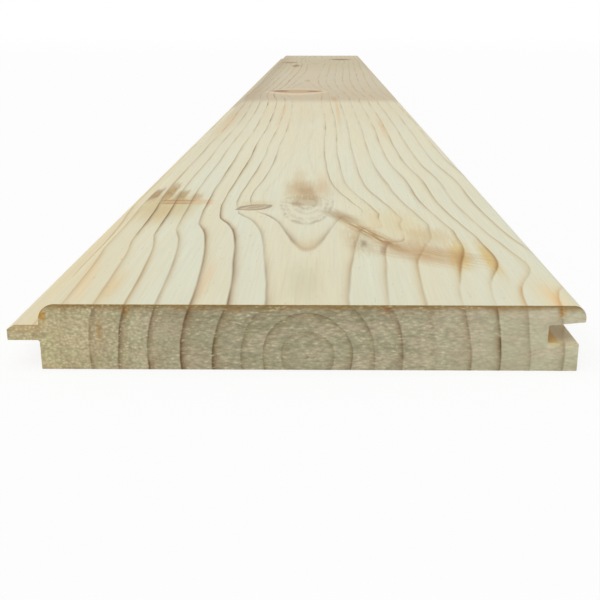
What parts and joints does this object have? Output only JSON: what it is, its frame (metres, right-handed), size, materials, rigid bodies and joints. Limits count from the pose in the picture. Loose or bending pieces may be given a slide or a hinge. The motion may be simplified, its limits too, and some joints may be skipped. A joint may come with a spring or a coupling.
{
  "type": "tongue and groove floorboard",
  "caption": "Long planed softwood board of tongue and groove section, laid edge to edge over joists as flooring or lining.",
  "frame": {"origin": "middle of the footprint, on the flat back that the board lies on", "axes": "+Y along the board, +Z out of the face, +X towards the groove edge and -X towards the tongue edge"},
  "size_m": [0.168, 1.8, 0.02],
  "materials": {
    "planed_softwood": "matte"
  },
  "bodies": {
    "root": {"board": "planed_softwood"}
  },
  "joints": []
}
